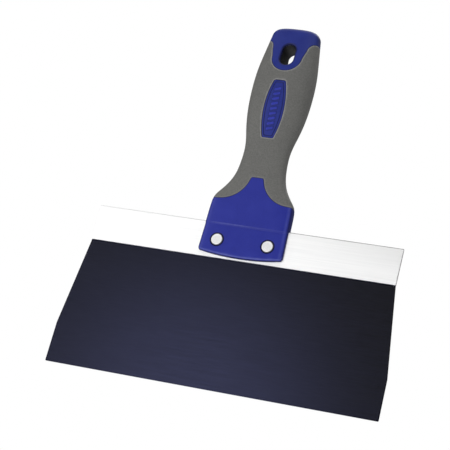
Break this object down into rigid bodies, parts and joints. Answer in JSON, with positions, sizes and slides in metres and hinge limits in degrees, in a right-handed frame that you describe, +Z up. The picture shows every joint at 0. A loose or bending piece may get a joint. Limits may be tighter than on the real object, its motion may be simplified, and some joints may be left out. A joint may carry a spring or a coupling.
{
  "type": "drywall taping knife",
  "caption": "Wide taping knife: blued steel blade in a folded aluminium back, riveted to a moulded soft-grip handle with a hang hole.",
  "frame": {"origin": "middle of the working edge, in the blade's mid-plane", "axes": "+X along the blade, +Z up the handle, -Y out of the front face"},
  "size_m": [0.2032, 0.02, 0.228],
  "materials": {
    "blued_steel": "tempered blue steel with fine brushing along the blade",
    "brushed_aluminium": "mill finish sheet with fine brushing along its length",
    "blue_plastic": "fine satin moulded texture",
    "grey_soft_grip": "matt soft-touch moulding",
    "dark_plastic": "plain moulded",
    "rivet_metal": "pressed, satin"
  },
  "bodies": {
    "root": {"blade": "blued_steel", "back_channel": "brushed_aluminium", "collar": "blue_plastic", "handle_core": "dark_plastic", "soft_grip": "grey_soft_grip", "end_cap": "blue_plastic", "front_badge": "blue_plastic", "rear_badge": "blue_plastic", "left_rivet_post": "rivet_metal", "right_rivet_post": "rivet_metal", "left_rivet_socket": "rivet_metal", "right_rivet_socket": "rivet_metal"}
  },
  "joints": []
}
